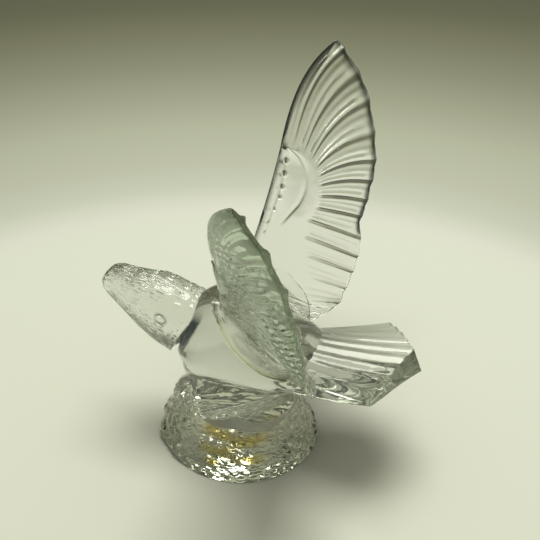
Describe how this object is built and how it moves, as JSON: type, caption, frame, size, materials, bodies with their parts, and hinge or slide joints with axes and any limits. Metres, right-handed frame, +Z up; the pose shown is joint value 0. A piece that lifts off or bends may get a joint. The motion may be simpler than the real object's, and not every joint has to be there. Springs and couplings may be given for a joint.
{
  "type": "crystal eagle figurine",
  "caption": "Clear crystal eagle with raised fluted wings, a stretched head and a fanned tail, cast as one with its round rock base.",
  "frame": {"origin": "on the flat underside, under the middle of the round base", "axes": "+Z up, -Y towards the beak, +X towards the bird's left wing"},
  "size_m": [0.1824, 0.1483, 0.169],
  "materials": {
    "clear_crystal": "polished clear crystal with pressed and cut relief"
  },
  "bodies": {
    "root": {"crystal_eagle": "clear_crystal"}
  },
  "joints": []
}
